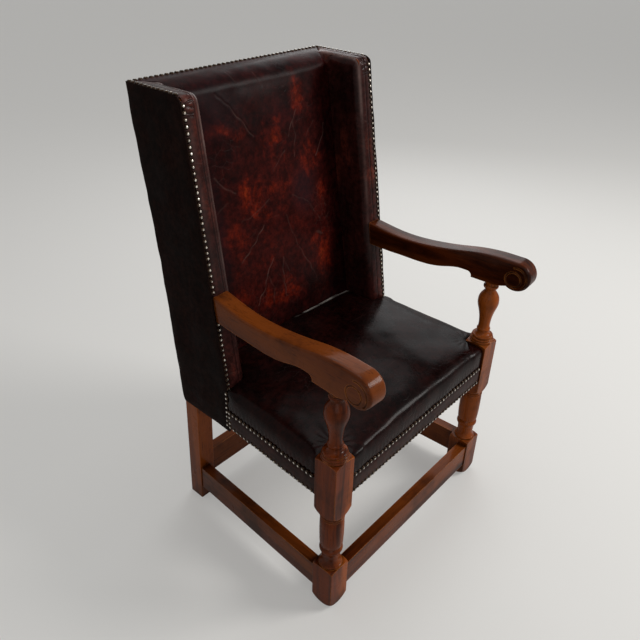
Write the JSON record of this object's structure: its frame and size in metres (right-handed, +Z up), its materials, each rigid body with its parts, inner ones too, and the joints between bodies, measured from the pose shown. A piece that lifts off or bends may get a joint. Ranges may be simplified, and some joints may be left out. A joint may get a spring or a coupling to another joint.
{
  "type": "library armchair",
  "caption": "High-backed wing armchair with turned front legs, box stretchers, scrolled open arms and a close-nailed leather seat, back and wings.",
  "frame": {"origin": "on the floor, under the middle of the chair's box", "axes": "+X to the sitter's left, -Y the way the chair faces, +Z up"},
  "size_m": [0.638, 0.6858, 1.0942],
  "materials": {
    "show_wood": "waxed, satin",
    "frame_wood": "sawn, unpolished",
    "leather": "aged and waxed, glossy",
    "nails": "antiqued",
    "webbing": "woven jute",
    "hessian": "plain weave",
    "stuffing": "curled hair",
    "screws": "plain"
  },
  "bodies": {
    "root": {"back_hessian": "hessian", "back_lower_rail": "frame_wood", "back_post_left": "show_wood", "back_post_right": "show_wood", "back_stuffing": "stuffing", "back_top_nails": "nails", "back_top_rail": "frame_wood", "back_webbing": "webbing", "corner_block_screws": "screws", "corner_blocks": "frame_wood", "front_leg_left": "show_wood", "front_leg_right": "show_wood", "front_seat_band": "leather", "front_seat_rail": "frame_wood", "front_stretcher": "show_wood", "inside_back_leather": "leather", "inside_wing_leather_left": "leather", "inside_wing_leather_right": "leather", "left_arm": "show_wood", "left_seat_band": "leather", "left_seat_nails": "nails", "left_seat_rail": "frame_wood", "left_stretcher": "show_wood", "outside_back_leather": "leather", "outside_wing_leather_left": "leather", "outside_wing_leather_right": "leather", "rear_seat_rail": "frame_wood", "rear_stretcher": "show_wood", "right_arm": "show_wood", "right_seat_band": "leather", "right_seat_nails": "nails", "right_seat_rail": "frame_wood", "right_stretcher": "show_wood", "seat_front_nails": "nails", "seat_hessian": "hessian", "seat_leather": "leather", "seat_stuffing": "stuffing", "seat_webbing": "webbing", "wing_front_band_left": "leather", "wing_front_band_right": "leather", "wing_nails_left": "nails", "wing_nails_right": "nails", "wing_piping_left": "leather", "wing_piping_right": "leather", "wing_post_left": "frame_wood", "wing_post_right": "frame_wood", "wing_stuffing_left": "stuffing", "wing_stuffing_right": "stuffing", "wing_top_leather_left": "leather", "wing_top_leather_right": "leather", "wing_top_nails_left": "nails", "wing_top_nails_right": "nails", "wing_top_rail_left": "frame_wood", "wing_top_rail_right": "frame_wood"}
  },
  "joints": []
}
